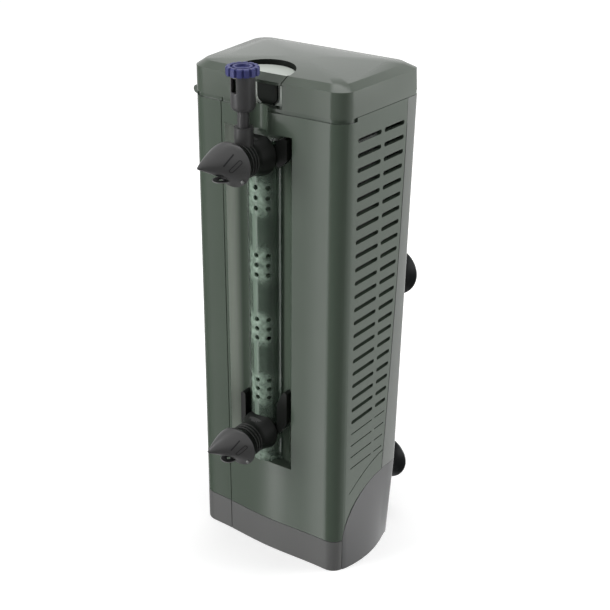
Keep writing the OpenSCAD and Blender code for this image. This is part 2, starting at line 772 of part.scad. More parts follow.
// Side wing that seats an outlet in the trough; heights are above the outlet's axis
module wing(z, inner, outer, reach) {
    x0 = flange_half_w + fit;
    round_r = 1.6;
    intersection() {
        trough(trough_z0 + 0.3, trough_z1 - 0.3, fit);
        translate([column_x, crown_y + 1.4, 0]) rotate([90, 0, 0]) mirror([0, 0, 1])
            linear_extrude(trough_depth - 1.4 - fit) offset(round_r, $fn = 16) offset(delta = -round_r)
                polygon([[x0, z + inner[0]], [x0 + reach, z + outer[0]], [x0 + reach, z + outer[1]],
                    [x0, z + inner[1]]]);
    }
    block(column_x + outlet_r - 0.6, column_x + x0 + 1.6, trough_y - flange_t - 2.2,
        trough_y - flange_t - 0.15, z + inner[0] + 4, z + 5);
}

// A wide wing on the right and a slim one on the left
module wings(z, inner, outer) {
    wing(z, inner, outer, 7.6);
    translate([2 * column_x, 0, 0]) mirror([1, 0, 0]) wing(z, inner, inner, 3.6);
}

spigot_r = 9;

module outlet_body_upper() {
    color("#17191a") {
        difference() {
            union() {
                outlet_tube(outlet_high_z, spigot_r);
                translate([column_x, -valve_y, outlet_high_z + outlet_bore_r + 1])
                    cylinder(r = socket_r, h = socket_z1 - outlet_high_z - outlet_bore_r - 1);
            }
            translate([column_x, -valve_y, outlet_high_z]) cylinder(r = 1.4, h = far);
            translate([column_x, -valve_y, socket_z1 - 6]) cylinder(r = stem_tube_r + run, h = far);
        }
        wings(outlet_high_z, [-7.5, 10], [-1, 12.5]);
    }
}

module outlet_body_lower() {
    color("#17191a") {
        outlet_tube(outlet_low_z, spigot_r);
        wings(outlet_low_z, [-2, 23], [11, 39]);
    }
}

module outlet_seals() {
    color("#101010") for (z = outlet_zs) translate([column_x, -outlet_y - 1.9, z]) rotate([90, 0, 0])
        rotate_extrude() translate([spigot_r - 0.78, 0]) circle(r = 0.7, $fn = 20);
}

// Turning ring that flares from the tube to the hood
module hood_ring(z) {
    translate([column_x, -outlet_y - fit, z]) rotate([90, 0, 0]) rotate_extrude()
        polygon([[spigot_r + run, 0], [outlet_r + 0.4, 0], [outlet_r + 1, 1], [ring_r, ring_l],
            [spigot_r + run, ring_l]]);
}

// Hood body, shrunk by g: a beak from the ring to a tip at the front left
module hood_form(g) {
    hull() {
        bar_y(ring_r - g, hood_y - 0.8, hood_y);
        translate([-0.4, hood_y - 6, 0.2]) sphere(r = ring_r - 4.6 - g, $fn = 32);
        translate([-hood_side * 0.62, hood_y - hood_reach / 2, 2]) sphere(r = ring_r - 7.1 - g, $fn = 28);
        translate([-hood_side + 0.3, hood_y - hood_reach + 2.4 + g, 0.2]) sphere(r = 1.5 - g / 3, $fn = 12);
    }
}

module hood(z) {
    translate([column_x, 0, z]) difference() {
        hood_form(0);
        hood_form(hood_wall);
        block(-far, far, hood_y, far, -far, far);
        bar_y(ring_r - hood_wall, hood_y - 0.9, hood_y + 1);
        translate([-mouth_side, hood_y - mouth_out, -far]) cylinder(r = mouth_r, h = far);
    }
}

module hood_ring_upper() { color("#1b1d1e") hood_ring(outlet_high_z); }
module hood_ring_lower() { color("#1b1d1e") hood_ring(outlet_low_z); }
module hood_upper() { color("#48484a") hood(outlet_high_z); }
module hood_lower() { color("#48484a") hood(outlet_low_z); }

// ---- Air valve ----
valve_slot_w = 4.2;                                 // width of the air inlet under the knob

module valve_tube() {
    color("#3c3c3e") translate([column_x, -valve_y, 0]) difference() {
        translate([0, 0, socket_z1 - 6]) cylinder(r = stem_tube_r, h = valve_z0 - socket_z1 + 6);
        cylinder(r = 1.4, h = far);
    }
}

module valve_body() {
    color("#4c4c4e") translate([column_x, -valve_y, valve_z0]) difference() {
        rotate_extrude() union() {
            translate([0, 3]) square([valve_r, valve_l - 3]);
            square([valve_r - 3, 3.1]);
            translate([valve_r - 3, 3]) circle(r = 3, $fn = 40);
        }
        translate([0, 0, 3]) cylinder(r = valve_r - 1.6, h = far);
        translate([0, 0, -1]) cylinder(r = 1.4, h = far);
        rotate(258) translate([0, -valve_slot_w / 2, valve_l - 9]) cube([far, valve_slot_w, 8]);
    }
}

plug_r = 4.8;
plug_z0 = valve_z1 - 9;

module valve_needle() {
    color("silver") translate([column_x, -valve_y, valve_z0 + 4.4])
        cylinder(r1 = 0.7, r2 = 1.2, h = plug_z0 - valve_z0 - 4.4);
}

module valve_knob() {
    z0 = valve_z1 + knob_gap;
    color("#3f4684") translate([column_x, -valve_y, 0]) difference() {
        union() {
            translate([0, 0, z0]) cylinder(r = knob_r, h = knob_h - 0.6);
            translate([0, 0, z0 + knob_h - 0.6]) cylinder(r1 = knob_r, r2 = knob_r - 0.6, h = 0.6);
            translate([0, 0, plug_z0]) cylinder(r = plug_r, h = z0 - plug_z0 + 1);
        }
        for (i = [0:knob_flutes - 1]) rotate(i * 360 / knob_flutes)
            translate([knob_r + 0.1, 0, z0 - 1]) cylinder(r = 0.85, h = far, $fn = 20);
        translate([0, 0, z0 + knob_h - 0.9]) difference() {
            cylinder(r = knob_r - 2.4, h = 2);
            translate([0, 0, -1]) cylinder(r = knob_r - 4, h = 4);
        }
    }
}

// ---- Flow selector ----
module lid_form() {
    bevel_r = lid_corner + bevel_w;
    loft(concat([[lid_z0, 0], [lid_z1, 0, (rear_r + lid_corner) / 2]],
        [for (i = [0:4]) let (k = 1 - i / 5)
            [lid_z2 + crown_h * (1 - k * k), -bevel_w, bevel_r, undef, k, lid_corner]]));
}

module selector_cap() {
    plate_half_w = notch_r - notch_gap - 1.4;
    color("#aeb6ae") {
        difference() {
            intersection() {
                lid_form();
                translate([selector_x, -selector_y, grip_z1]) cylinder(r = notch_r - notch_gap, h = far);
            }
            translate([selector_x, -selector_y, lid_z2 - disc_drop]) intersection() {
                cylinder(r = notch_r, h = far);
                block(-far, far, selector_y - front_y + bevel_w, far, -1, far);
            }
        }
        block(selector_x - plate_half_w, selector_x + plate_half_w, grip_y + grip_t / 2,
            grip_y + grip_t / 2 + 1.6, grip_z0 - 7, grip_z1 + eps);
    }
}

module selector_grip() {
    corner = 4;
    link_z = duct_z1 + 1;
    color("#17191a") {
        translate([selector_x, grip_y + grip_t / 2, 0]) rotate([90, 0, 0]) linear_extrude(grip_t) union() {
            translate([-grip_w / 2, grip_z0 + corner]) square([grip_w, grip_h - corner]);
            translate([-grip_w / 2 + corner, grip_z0]) square([grip_w - 2 * corner, corner + 1]);
            for (s = [-1, 1]) translate([s * (grip_w / 2 - corner), grip_z0 + corner])
                circle(corner, $fn = 40);
            translate([-neck_w / 2, link_z]) square([neck_w, grip_z0 - link_z + 1]);
        }
        block(selector_x - stem_r, selector_x + stem_r, grip_y - grip_t / 2, stem_y + stem_r,
            link_z, link_z + 3);
        translate([selector_x, stem_y, stem_z]) cylinder(r = stem_r, h = link_z + 2 - stem_z);
    }
}

module flow_gate() {
    z0 = trough_z0 - 4;
    color("#c9c9c2") difference() {
        union() {
            block(column_x - gate_half_w, column_x + gate_half_w, gate_y, gate_y + gate_t, z0, stem_z);
            block(selector_x - 3, selector_x + 3, gate_y, gate_y + 2 * stem_r, stem_z - 12, stem_z);
        }
        for (z = concat([outlet_low_z], port_zs)) bar_y(port_r + 1, -far, far, column_x, z);
    }
}

// ---- Lid ----
module lid() {
    tab_y = -front_y + 7;
    tab_x = front_half_w - side_lean + 0.6;
    color("#8c928a") difference() {
        union() {
            difference() {
                lid_form();
                loft([[lid_z0 - 1, -lid_wall], [lid_z1 - 0.6, -lid_wall, (rear_r + lid_corner) / 2],
                    [lid_z2 - lid_wall, -bevel_w - 0.6, lid_corner + bevel_w, undef, undef, lid_corner]]);
            }
            difference() {
                bar_y(tab_r, tab_y, tab_y + tab_l, -tab_x, lid_z0 - 1);
                body(0, lid_z0 - eps, pass);
                block(-tab_x + lid_wall / 2, far, -far, far, 0, far);
            }
            intersection() {
                lid_form();
                translate([selector_x, -selector_y, lid_z0 + 5.2]) cylinder(r = notch_r + 1.8, h = far);
            }
            for (s = [-1, 1], d = [-1, 1]) translate([s * hinge_x + d * (post_w / 2 + pass + lug_t / 2), 0, 0])
                difference() {
                    union() {
                        translate([-lug_t / 2, hinge_y, hinge_z]) rotate([0, 90, 0])
                            cylinder(r = pin_r + 1.5, h = lug_t);
                        block(-lug_t / 2, lug_t / 2, hinge_y - pin_r - 1.5, hinge_y + pin_r + 1, hinge_z,
                            lid_z2 - lid_wall + 0.1);
                    }
                    translate([-lug_t, hinge_y, hinge_z]) rotate([0, 90, 0])
                        cylinder(r = pin_r + run, h = 2 * lug_t);
                }
        }
        translate([selector_x, -selector_y, 0]) cylinder(r = notch_r, h = far);
        block(-far, far, hinge_y + 1, far, 0, lid_z0 + 2.4);
        for (s = [-1, 1]) block(s * hinge_x - post_w / 2 - pass, s * hinge_x + post_w / 2 + pass,
            hinge_y + 1.5, far, 0, hinge_z + 7);
    }
}

module hinge_pins() {
    l = post_w + 2 * lug_t + 2 * pass - 0.4;
    color("silver") for (s = [-1, 1]) translate([s * hinge_x - l / 2, hinge_y, hinge_z]) rotate([0, 90, 0])
        cylinder(r = pin_r, h = l);
}

// ---- Media ----
module media_frame() {
    w = media_half_w;
    color("#34383a") {
        block(-w, w, media_front_y, media_rear_y, bay_z + fit, tray_z);
        for (sx = [-1, 1], y = [media_front_y, media_rear_y - media_bar])
            block(sx > 0 ? w - media_bar : -w, sx > 0 ? w : -w + media_bar, y, y + media_bar,
                tray_z - eps, media_top);
        for (y = [media_front_y, media_rear_y - media_bar])
            block(-w, w, y, y + media_bar, media_top - media_bar, media_top);
        for (sx = [-1, 1]) block(sx > 0 ? w - media_bar : -w, sx > 0 ? w : -w + media_bar, media_front_y,
            media_rear_y, media_top - media_bar, media_top);
        for (sx = [-0.3, 0.3]) block(sx * w - 2, sx * w + 2, media_front_y + media_bar,
            media_rear_y - media_bar, media_top - media_bar, media_top);
    }
}

foam_x0 = media_half_w - foam_t - 1;
pad_y0 = media_front_y + media_bar + 0.5;
pad_y1 = media_rear_y - media_bar - 0.5;
media_low = tray_z + 0.1;
media_high = media_top - media_bar - 1;

module foam_pad() { block(foam_x0, foam_x0 + foam_t, pad_y0, pad_y1, media_low, media_high); }
module foam_pad_right() { color("#2b2b2b") foam_pad(); }
module foam_pad_left() { color("#2b2b2b") mirror([1, 0, 0]) foam_pad(); }

cartridge_x1 = foam_x0 - 0.4;

module cartridge() {
    block(cartridge_x1 - cartridge_t, cartridge_x1, pad_y0, pad_y1, media_low, media_high - 4);
}

module cartridge_right() { color("#e4e4de") cartridge(); }
module cartridge_left() { color("#e4e4de") mirror([1, 0, 0]) cartridge(); }

chamber_half_w = cartridge_x1 - cartridge_t - 0.5;
chamber_wall = 1.5;
ceramic_r = 4.2;
ceramic_l = 12;

module media_chamber() {
    color("#8f9c94", 0.6) difference() {
        block(-chamber_half_w, chamber_half_w, pad_y0, pad_y1, media_low, media_high - 6);
        block(-chamber_half_w + chamber_wall, chamber_half_w - chamber_wall, pad_y0 + chamber_wall,
            pad_y1 - chamber_wall, media_low + chamber_wall, far);
    }
}

module media_rings() {
    r = ceramic_r;
    pitch = 2 * r + 0.4;
    n = floor(2 * (chamber_half_w - chamber_wall) / pitch);
    color("#e9e3d2") for (i = [0:n - 1], j = [0, 1], k = [0:8])
        translate([(i - (n - 1) / 2) * pitch, pad_y0 + chamber_wall + 0.3 + r + j * pitch,
            media_low + chamber_wall + k * ceramic_l]) difference() {
            cylinder(r = r, h = ceramic_l - 0.1, $fn = 24);
            translate([0, 0, -1]) cylinder(r = r - 1.8, h = ceramic_l + 2, $fn = 24);
        }
}

// ---- Rear bracket, cups and cable gland ----
// Jaw of the bracket that hooks round one rail, between two heights
module rail_jaw(x, z0, z1) {
    jaw_in = rail_head_half_w + pass;
    jaw_out = jaw_in + 1.8;
    y_lip = bracket_y - rail_head_y - pass;
    for (m = [0, 1]) translate([x, 0, 0]) mirror([m, 0, 0]) {
        block(jaw_in, jaw_out, y_lip - 1.6, bracket_y + eps, z0, z1);
        block(rail_half_w + pass, jaw_out, y_lip - 1.6, y_lip, z0, z1);
    }
}

module rear_bracket() {
    mid_z = (cup_low_z + cup_high_z) / 2;
    color("#202224") difference() {
        union() {
            for (s = [-1, 1]) block(s * cup_x - 6, s * cup_x + 6, bracket_y, bracket_y + bracket_t,
                bracket_z0, bracket_z1);
            for (z = [cup_low_z, mid_z, cup_high_z, bracket_z1 - 8])
                block(-cup_x - 6, cup_x + 6, bracket_y, bracket_y + bracket_t, z - 8, z + 8);
            for (s = [-1, 1], z = [cup_low_z, cup_high_z]) rail_jaw(s * rail_x, z - 8, z + 8);
        }
        for (s = [-1, 1], z = [cup_low_z, cup_high_z]) bar_y(stud_r + fit, 0, far, s * cup_x, z);
        for (s = [-1, 1]) bar_y(screw_r + fit, 0, far, s * 12, mid_z);
    }
}

module bracket_screws() {
    color("silver") for (s = [-1, 1]) translate([s * 12, 0, (cup_low_z + cup_high_z) / 2]) {
        bar_y(screw_r, bracket_y + 0.1, bracket_y + bracket_t);
        bar_y(screw_head_r, bracket_y + bracket_t, bracket_y + bracket_t + 1.2);
    }
}

module cup_studs() {
    color("#26282a") for (s = [-1, 1], z = [cup_low_z, cup_high_z]) {
        bar_y(stud_r, bracket_y - 0.8, bracket_y + bracket_t + 2.2, s * cup_x, z);
        bar_y(stud_head_r, bracket_y - 2, bracket_y - 0.1, s * cup_x, z);
    }
}

module suction_cups() {
    y0 = bracket_y + bracket_t;
    color("#1d1f21") for (s = [-1, 1], z = [cup_low_z, cup_high_z])
        translate([s * cup_x, y0, z]) rotate([-90, 0, 0]) rotate_extrude() polygon(concat(
            [[stud_r + eps, 0], [stud_r + 2.5, 0], [stud_r + 2.8, 1.4]],
            [for (i = [0:6]) let (t = i / 6)
                [stud_r + 2.8 + (cup_r - stud_r - 2.8) * t, 1.6 + (cup_h - 2.4) * t * t]],
            [[cup_r, cup_h]],
            [for (i = [6:-1:0]) let (t = i / 6) [(cup_r - 1) * t, 2.6 + (cup_h - 2.6) * t * t]],
            [[0, 2.3], [stud_r + eps, 2.3]]));
}

module cable_gland() {
    y = rear_y + rear_lean * gland_z / housing_h;
    color("#1b1b1b") difference() {
        union() {
            bar_y(gland_r, y + 0.3, y + 6, 0, gland_z);
            bar_y(gland_r - 2, y - wall - 2, y + 1, 0, gland_z);
            bar_y(gland_r, y - wall - 4, y - wall - 0.4, 0, gland_z);
        }
        bar_y(gland_bore_r, y - wall - 6, y + 8, 0, gland_z);
    }
}

housing_right();
housing_left();
housing_back();
base_front();
base_front_left();
pump_cover_right();
pump_cover_left();
base_plate();
base_feet();
base_screws();
bay_floor();
motor_block();
shaft_bush_lower();
shaft_bush_upper();
impeller_shaft();
rotor_magnet();
impeller();
pump_chamber();
riser_duct();
spray_channel();
outlet_body_upper();
outlet_body_lower();
outlet_seals();
hood_ring_upper();
hood_upper();
hood_ring_lower();
hood_lower();
valve_tube();
valve_body();
valve_needle();
valve_knob();
selector_cap();
selector_grip();
flow_gate();
lid();
hinge_pins();
media_frame();
foam_pad_right();
foam_pad_left();
cartridge_right();
cartridge_left();
media_chamber();
media_rings();
rear_bracket();
bracket_screws();
cup_studs();
suction_cups();
cable_gland();
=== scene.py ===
import json
import math

import bpy
from mathutils import Matrix, Vector


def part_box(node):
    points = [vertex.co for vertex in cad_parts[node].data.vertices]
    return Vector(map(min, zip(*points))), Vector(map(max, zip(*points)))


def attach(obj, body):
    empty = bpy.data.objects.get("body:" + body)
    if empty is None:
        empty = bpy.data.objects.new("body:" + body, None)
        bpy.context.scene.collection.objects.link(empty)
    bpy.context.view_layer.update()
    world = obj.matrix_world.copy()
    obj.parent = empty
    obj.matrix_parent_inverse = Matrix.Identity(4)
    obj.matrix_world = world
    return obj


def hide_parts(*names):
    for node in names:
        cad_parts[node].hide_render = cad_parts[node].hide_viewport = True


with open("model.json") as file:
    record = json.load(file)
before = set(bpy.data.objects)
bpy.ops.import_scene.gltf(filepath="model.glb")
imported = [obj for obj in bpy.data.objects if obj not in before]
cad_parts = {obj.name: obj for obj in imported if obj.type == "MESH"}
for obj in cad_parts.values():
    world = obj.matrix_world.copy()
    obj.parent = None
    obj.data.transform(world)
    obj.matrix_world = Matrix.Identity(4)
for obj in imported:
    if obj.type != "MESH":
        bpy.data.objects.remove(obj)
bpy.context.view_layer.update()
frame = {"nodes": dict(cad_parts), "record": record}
nodes = frame["nodes"]


# ---- Housing shells ----
# Two front shells and a rear shell, injection moulded in grey-green ABS with a satin grain.
# They clip together along a curved line behind the side grilles.
def moulded(name, colour, roughness=0.36, grain=0.05, drift=0.08, shine=0.5):
    """Satin moulded plastic: a fine grain, and a slow drift of colour and gloss over the piece."""
    m = bpy.data.materials.new(name)
    m.use_nodes = True
    t = m.node_tree
    t.nodes.clear()
    new, link = t.nodes.new, t.links.new
    out = new("ShaderNodeOutputMaterial")
    skin = new("ShaderNodeBsdfPrincipled")
    skin.inputs["Specular IOR Level"].default_value = shine
    place = new("ShaderNodeTexCoord")
    flow = new("ShaderNodeTexNoise")
    flow.inputs["Scale"].default_value = 14
    flow.inputs["Detail"].default_value = 3
    tint = new("ShaderNodeMix")
    tint.data_type = "RGBA"
    tint.inputs["A"].default_value = [c * (1 - drift) for c in colour] + [1]
    tint.inputs["B"].default_value = [min(1, c * (1 + drift)) for c in colour] + [1]
    fine = new("ShaderNodeTexNoise")
    fine.inputs["Scale"].default_value = 1600
    fine.inputs["Detail"].default_value = 2
    bump = new("ShaderNodeBump")
    bump.inputs["Strength"].default_value = grain
    bump.inputs["Distance"].default_value = 0.0002
    gloss = new("ShaderNodeMapRange")
    gloss.inputs["To Min"].default_value = roughness - 0.05
    gloss.inputs["To Max"].default_value = roughness + 0.05
    link(place.outputs["Object"], flow.inputs["Vector"])
    link(place.outputs["Object"], fine.inputs["Vector"])
    link(flow.outputs["Fac"], tint.inputs["Factor"])
    link(tint.outputs["Result"], skin.inputs["Base Color"])
    link(flow.outputs["Fac"], gloss.inputs["Value"])
    link(gloss.outputs["Result"], skin.inputs["Roughness"])
    link(fine.outputs["Fac"], bump.inputs["Height"])
    link(bump.outputs["Normal"], skin.inputs["Normal"])
    link(skin.outputs["BSDF"], out.inputs["Surface"])
    return m


def paint(material, *names):
    """Gives CAD nodes, or new pieces, one material."""
    for name in names:
        piece = nodes[name] if name in nodes else bpy.data.objects[name]
        piece.data.materials.clear()
        piece.data.materials.append(material)


def smoothed(node, material, angle=28):
    """The node's own shape with its narrow facets merged and shaded as one curved skin."""
    bpy.ops.object.select_all(action="DESELECT")
    source = nodes[node]
    piece = bpy.data.objects.new(node + "_skin", source.data.copy())
    bpy.context.scene.collection.objects.link(piece)
    piece.select_set(True)
    bpy.context.view_layer.objects.active = piece
    bpy.ops.object.mode_set(mode="EDIT")
    bpy.ops.mesh.select_all(action="SELECT")
    bpy.ops.mesh.remove_doubles(threshold=0.00001)
    bpy.ops.mesh.customdata_custom_splitnormals_clear()
    bpy.ops.object.mode_set(mode="OBJECT")
    bpy.ops.object.shade_smooth_by_angle(angle=math.radians(angle))
    piece.data.materials.clear()
    piece.data.materials.append(material)
    body = next(b for b, held in frame["record"]["behaviour"]["bodies"].items() if node in held)
    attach(piece, body)
    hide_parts(node)
    return piece


shell_green = moulded("shell_green", (0.064, 0.083, 0.064), roughness=0.18, shine=0.42)
# The rear shell is coloured a paler grey than the front shells: painted highlight standing in for light on
# its rounded rear corners
rear_painted_highlight = moulded("rear_painted_highlight", (0.12, 0.13, 0.12), roughness=0.24, shine=0.4)
front_skin = smoothed("housing_right", shell_green)

# The left flank of the trough is coloured paler than the rest, fading towards the channel: a painted
# highlight standing in for light on that cove
highlight_full_x, highlight_none_x = -0.0285, -0.0215
trough_floor_y = -0.0395
cove_painted_highlight = shell_green.copy()
cove_painted_highlight.name = "cove_painted_highlight"
t = cove_painted_highlight.node_tree
across = t.nodes.new("ShaderNodeSeparateXYZ")
fade = t.nodes.new("ShaderNodeMapRange")
fade.interpolation_type = "SMOOTHSTEP"
fade.inputs["From Min"].default_value = highlight_full_x
fade.inputs["From Max"].default_value = highlight_none_x
fade.inputs["To Min"].default_value = 1
fade.inputs["To Max"].default_value = 0
pale = t.nodes.new("ShaderNodeMix")
pale.data_type = "RGBA"
pale.inputs["B"].default_value = (0.48, 0.53, 0.46, 1)
t.links.new(t.nodes["Texture Coordinate"].outputs["Object"], across.inputs[0])
t.links.new(across.outputs["X"], fade.inputs["Value"])
t.links.new(fade.outputs["Result"], pale.inputs["Factor"])
t.links.new(t.nodes["Mix"].outputs["Result"], pale.inputs["A"])
t.links.new(pale.outputs["Result"], t.nodes["Principled BSDF"].inputs["Base Color"])
front_skin.data.materials.append(cove_painted_highlight)
trough_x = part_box("spray_channel")[0].x - 0.0005
for face in front_skin.data.polygons:
    in_trough = face.center.x < trough_x and face.center.y > trough_floor_y
    if in_trough and face.normal.x > 0.05 and face.normal.y < -0.02:
        face.material_index = 1
smoothed("housing_left", shell_green)
smoothed("housing_back", rear_painted_highlight)


# ---- Base strip, side covers and base plate ----
# A dark strip closes the front of the pump room, and a grey swelling cover closes each side.
# The plate below is screwed up from underneath and stands on four rubber feet.
base_dark = moulded("base_dark", (0.106, 0.107, 0.105), roughness=0.4, shine=0.4)
cover_grey = moulded("cover_grey", (0.094, 0.095, 0.096), roughness=0.35, shine=0.4)
under_black = moulded("under_black", (0.03, 0.031, 0.032), roughness=0.55)
foot_rubber = moulded("foot_rubber", (0.02, 0.02, 0.02), roughness=0.75, grain=0.3)
for side in ("base_front", "base_front_left"):
    smoothed(side, base_dark)
for side in ("pump_cover_right", "pump_cover_left"):
    smoothed(side, cover_grey)
paint(under_black, "base_plate", "bay_floor", "riser_duct", "pump_chamber", "media_frame", "motor_block")
paint(foot_rubber, "base_feet", "outlet_seals", "shaft_bush_lower", "shaft_bush_upper", "cable_gland")


# ---- Lid, selector cap and finger grip ----
# The lid is moulded in the housing's grey-green and turns on two steel pins at the rear.
# A pale cap with a back plate fills its round notch, and a black grip hangs under the cap.
lid_green = moulded("lid_green", (0.072, 0.089, 0.071), roughness=0.2, shine=0.36)
cap_pale = moulded("cap_pale", (0.47, 0.51, 0.465), roughness=0.4)
grip_black = moulded("grip_black", (0.006, 0.008, 0.006), roughness=0.5, shine=0.08)
lid_skin = smoothed("lid", lid_green)
cap = smoothed("selector_cap", cap_pale)
cap.data.materials.append(lid_green)
cap_low, cap_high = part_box("selector_cap")
under_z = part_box("selector_grip")[1].z + 0.0002
for face in cap.data.polygons:
    disc = face.normal.z > 0.98
    face.material_index = 0 if disc or face.center.z < under_z else 1
cap_r = (cap_high.x - cap_low.x) / 2
notch_gap = 0.0006
notch_middle = Vector(((cap_low.x + cap_high.x) / 2, cap_high.y - cap_r))
# The lid's wall round the notch, just outside the cap, takes the grip's black: painted shade for the shadowed
# gap round the cap
lid_skin.data.materials.append(grip_black)
for face in lid_skin.data.polygons:
    out = (face.center.xy - notch_middle).length
    if abs(out - cap_r - notch_gap) < 0.0004 and abs(face.normal.z) < 0.3:
        face.material_index = 1
smoothed("selector_grip", grip_black)


# ---- Outlets ----
# Two black outlet bodies plug into the trough through the clear channel, each with ribs and wings.
# A flared ring turns on each, and carries a grey hood.
outlet_black = moulded("outlet_black", (0.008, 0.009, 0.008), roughness=0.33, shine=0.3)
hood_grey = moulded("hood_grey", (0.05, 0.05, 0.05), roughness=0.38, shine=0.4)
# The ribs' outer faces take a paler grey than the black tube: painted highlight along the rib edges
rib_painted_highlight = moulded("rib_painted_highlight", (0.05, 0.051, 0.05), roughness=0.35, shine=0.4)
socket_rise, socket_y = 0.0108, -0.044
ribs_y, rib_foot_r, rib_edge_r = -0.0505, 0.0104, 0.0109
for level in ("upper", "lower"):
    tube = smoothed("outlet_body_" + level, outlet_black)
    tube.data.materials.append(hood_grey)
    tube.data.materials.append(rib_painted_highlight)
    ring_low, ring_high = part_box("hood_ring_" + level)
    axis = (ring_low + ring_high) / 2
    for face in tube.data.polygons:
        out = math.hypot(face.center.x - axis.x, face.center.z - axis.z)
        if face.center.z > axis.z + socket_rise and face.center.y < socket_y:
            face.material_index = 1
        elif face.center.y < ribs_y and rib_foot_r < out < rib_edge_r:
            face.material_index = 2
    smoothed("hood_ring_" + level, outlet_black)


# ---- Hoods ----
# A grey beak closes each ring and throws the water down and sideways. It is moulded hollow, has an
# open mouth below, a slim line and a loop sunk in its front, and a small pale stop at its foot.
hood_wall = 0.0016
beak_rings = 15
beak_tip_r = 0.0008
mouth_r, mouth_side, mouth_out, mouth_drop = 0.0036, -0.0044, -0.0054, 0.03
stop_pale = moulded("stop_pale", (0.16, 0.165, 0.16), roughness=0.4)
line_dark = moulded("line_dark", (0.02, 0.02, 0.021), roughness=0.6, shine=0.2)
rim_painted_highlight = moulded("rim_painted_highlight", (0.13, 0.13, 0.13), roughness=0.4)


def beak(level):
    """Rings drawn forward from the turning ring, each smaller and further to the left, to the tip."""
    low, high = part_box("hood_" + level)
    ring_r = (high.z - low.z) / 2
    reach = high.y - low.y - 0.0006
    base = Vector((high.x - ring_r, high.y, (high.z + low.z) / 2))
    tip = (base.x - low.x) * 0.86
    bpy.ops.object.select_all(action="DESELECT")
    bpy.ops.mesh.primitive_circle_add(vertices=56, radius=ring_r, location=base, rotation=(math.pi / 2, 0, 0))
    piece = bpy.context.object
    piece.name = "hood_skin_" + level
    bpy.ops.object.transform_apply(location=True, rotation=True)
    bpy.ops.object.mode_set(mode="EDIT")
    bpy.ops.mesh.select_all(action="SELECT")
    centre, radius = base.copy(), ring_r
    for i in range(1, beak_rings):
        s = i / (beak_rings - 1)
        r = ring_r * (1 - s) ** 0.98 + beak_tip_r * s
        lift = (ring_r - 0.0005) * s ** 0.68
        there = base + Vector((-tip * s ** 0.85, -reach * s, r - ring_r + lift))
        bpy.ops.mesh.extrude_region_move(TRANSFORM_OT_translate={"value": there - centre})
        bpy.ops.transform.resize(value=(r / radius, r / radius, r / radius), center_override=there)
        centre, radius = there, r
    bpy.ops.mesh.extrude_region_move(TRANSFORM_OT_translate={"value": (-0.0003, -0.0005, 0)})
    bpy.ops.mesh.merge(type="CENTER")
    bpy.ops.mesh.select_all(action="SELECT")
    bpy.ops.mesh.normals_make_consistent(inside=False)
    bpy.ops.object.mode_set(mode="OBJECT")
    shell = piece.modifiers.new("wall", "SOLIDIFY")
    shell.thickness = hood_wall
    shell.offset = -1
    bpy.ops.object.modifier_apply(modifier="wall")

    bpy.ops.object.select_all(action="DESELECT")
    mouth_place = base + Vector((mouth_side, mouth_out, -mouth_drop / 2))
    bpy.ops.mesh.primitive_cylinder_add(vertices=40, radius=mouth_r, depth=mouth_drop, location=mouth_place)
    mouth = bpy.context.object
    bpy.context.view_layer.objects.active = piece
    cut = piece.modifiers.new("mouth", "BOOLEAN")
    cut.object = mouth
    cut.solver = "EXACT"
    bpy.ops.object.modifier_apply(modifier="mouth")
    bpy.data.objects.remove(mouth)
    bpy.ops.object.select_all(action="DESELECT")
    piece.select_set(True)
    bpy.ops.object.shade_smooth_by_angle(angle=math.radians(40))
    piece.data.materials.append(hood_grey)
    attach(piece, level + "_hood")
    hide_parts("hood_" + level)
    return piece, base


def sunk_loop(name, piece, start, end, half_width, body):
    """A stadium-shaped line laid into the hood between two points near its skin."""
    line_r, line_rise = 0.00022, 0.00012
    middle = (start + end) / 2
    _, seat, normal, _ = piece.closest_point_on_mesh(middle)
    along = (end - start).normalized()
    along = (along - normal * along.dot(normal)).normalized()
    side = normal.cross(along)
    length = (end - start).length
    bpy.ops.object.select_all(action="DESELECT")
    bpy.ops.mesh.primitive_torus_add(major_segments=32, minor_segments=8, major_radius=half_width,
                                     minor_radius=line_r)
    line = bpy.context.object
    line.name = name
    bpy.ops.object.mode_set(mode="EDIT")
    bpy.ops.mesh.select_all(action="DESELECT")
    bpy.ops.object.mode_set(mode="OBJECT")
    for v in line.data.vertices:
        v.select = v.co.x > 0
    bpy.ops.object.mode_set(mode="EDIT")
    bpy.ops.transform.translate(value=(length, 0, 0))
    bpy.ops.mesh.select_all(action="SELECT")
    bpy.ops.mesh.subdivide(number_cuts=3)
    bpy.ops.transform.translate(value=(-length / 2, 0, 0))
    bpy.ops.object.mode_set(mode="OBJECT")
    line.matrix_world = Matrix((
        (along.x, side.x, normal.x, seat.x),
        (along.y, side.y, normal.y, seat.y),
        (along.z, side.z, normal.z, seat.z),
        (0, 0, 0, 1)))
    bpy.ops.object.transform_apply(location=True, rotation=True)
    grip = line.modifiers.new("seat", "SHRINKWRAP")
    grip.target = piece
    grip.wrap_method = "NEAREST_SURFACEPOINT"
    grip.wrap_mode = "ON_SURFACE"
    grip.offset = line_rise
    bpy.ops.object.modifier_apply(modifier="seat")
    line.data.materials.append(line_dark)
    bpy.ops.object.shade_smooth()
    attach(line, body)


